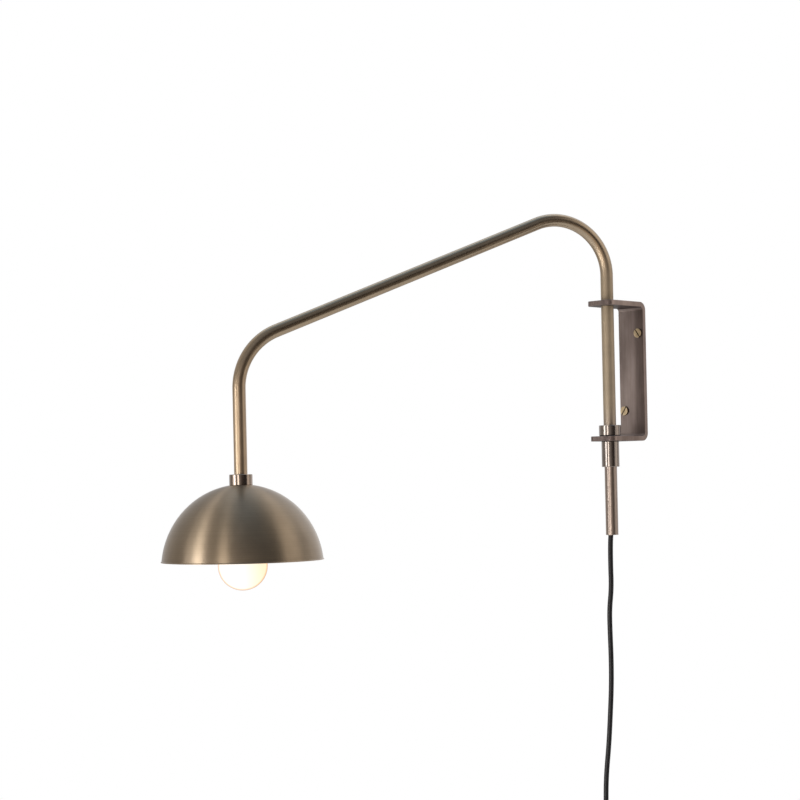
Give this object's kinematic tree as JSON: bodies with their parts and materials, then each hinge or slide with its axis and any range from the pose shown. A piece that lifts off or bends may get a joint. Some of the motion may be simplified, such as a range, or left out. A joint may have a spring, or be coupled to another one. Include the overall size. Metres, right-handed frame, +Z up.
{
  "type": "arm wall sconce",
  "caption": "Plug-in wall sconce: a bent tube arm swings in a U-shaped wall bracket and carries a dome shade over a screw-in bulb; a cord with a line switch hangs from its tail.",
  "frame": {"origin": "centre of the wall bracket's wall face", "axes": "+Z up, +Y into the wall, the room on the -Y side, +X to the right seen from the room"},
  "size_m": [0.3397, 0.5852, 1.0069],
  "materials": {
    "bracket_brass": "brushed flat bar with an aged brown patina",
    "screw_brass": "plain turned brass",
    "tube_brass": "satin tube with an aged patina",
    "turned_brass": "turned and polished with an aged patina",
    "shade_brass": "spun with fine rings and an aged patina",
    "shell_brass": "bright pressed brass",
    "bush_nylon": "smooth moulded liner",
    "spring_steel": "spring steel",
    "black_steel": "blackened steel",
    "zinc_steel": "zinc plated",
    "holder_plastic": "moulded thermoset",
    "contact_ceramic": "glazed ceramic",
    "bulb_nickel": "pressed cap",
    "bulb_black": "black glass insulator",
    "bulb_white": "opal white",
    "black_rubber": "smooth moulded rubber",
    "cord_black": "smooth round sheath",
    "switch_black": "fine moulded grain",
    "rocker_black": "smooth moulded",
    "tie_black": "hook and loop strap",
    "plug_black": "moulded on",
    "blade_nickel": "nickel plated"
  },
  "bodies": {
    "bracket": {"wall_bracket": "bracket_brass", "wall_screws": "screw_brass", "upper_bush": "bush_nylon", "lower_bush": "bush_nylon"},
    "arm": {"arm_collar": "turned_brass", "arm_tube": "tube_brass", "bulb_cap": "bulb_nickel", "bulb_glass": "bulb_white", "bulb_insulator": "bulb_black", "bulb_light_source": "bulb_white", "bulb_tip_contact": "bulb_nickel", "centre_contact": "shell_brass", "coil_tie": "tie_black", "collar_set_screws": "black_steel", "contact_base": "contact_ceramic", "cord_coil": "cord_black", "cord_grip": "black_rubber", "cord_in_arm": "cord_black", "cord_lead": "cord_black", "cord_link": "cord_black", "dome_shade": "shade_brass", "holder_leads": "cord_black", "lampholder_body": "holder_plastic", "lampholder_cap": "holder_plastic", "pivot_sleeve": "turned_brass", "plug_blades": "blade_nickel", "plug_body": "plug_black", "plug_relief": "black_rubber", "rocker_pin": "black_steel", "screw_shell": "shell_brass", "shade_collar": "turned_brass", "shade_locknut": "zinc_steel", "shade_nipple": "zinc_steel", "shade_washer": "zinc_steel", "sleeve_set_screws": "black_steel", "spring_washer": "spring_steel", "switch_back": "switch_black", "switch_contacts": "shell_brass", "switch_front": "switch_black", "switch_grommets": "black_rubber", "switch_screws": "black_steel", "terminal_screws": "shell_brass", "thrust_washer": "bush_nylon"},
    "rocker": {"switch_rocker": "rocker_black"}
  },
  "joints": [
    {"name": "arm_swing", "type": "hinge", "parent": "bracket", "child": "arm", "pos_m": [0, -0.054, 0], "axis": [0, 0, 1], "range_deg": [-56.5, 111.5]},
    {"name": "rocker_tilt", "type": "hinge", "parent": "arm", "child": "rocker", "pos_m": [-0.00656, -0.06909, -0.604], "axis": [0.7193, 0.6947, 0], "range_deg": [0, 16]}
  ]
}
